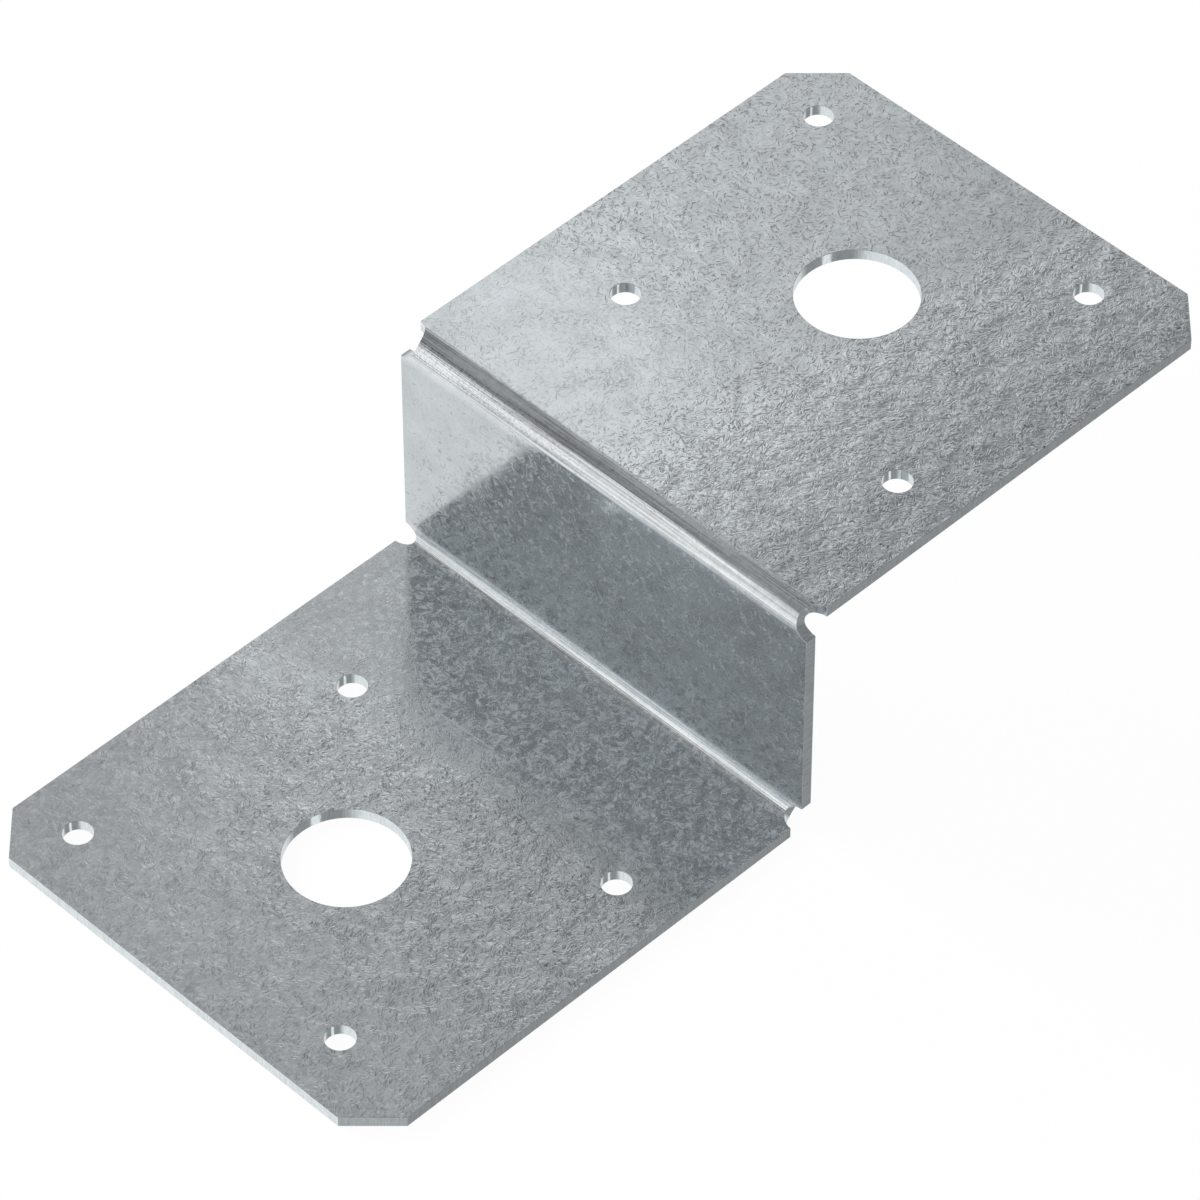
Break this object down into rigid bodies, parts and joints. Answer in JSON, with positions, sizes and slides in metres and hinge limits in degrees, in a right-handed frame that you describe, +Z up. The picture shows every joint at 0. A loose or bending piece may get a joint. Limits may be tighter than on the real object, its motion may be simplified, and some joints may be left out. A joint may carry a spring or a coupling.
{
  "type": "deck joist tie",
  "caption": "Stepped tie folded from one galvanized sheet: two flat flanges, punched for a bolt and nails, joined by an upright web.",
  "frame": {"origin": "middle of the web's thickness and of the tie's width, at the height of the lower flange's underside", "axes": "+X along the tie from the lower flange to the upper one, +Y across it, +Z up from the lower flange to the upper one"},
  "size_m": [0.1606, 0.0762, 0.0399],
  "materials": {
    "galvanized_sheet": "hot-dip galvanized, fine feathery spangle, semi-gloss"
  },
  "bodies": {
    "root": {"joist_tie": "galvanized_sheet"}
  },
  "joints": []
}
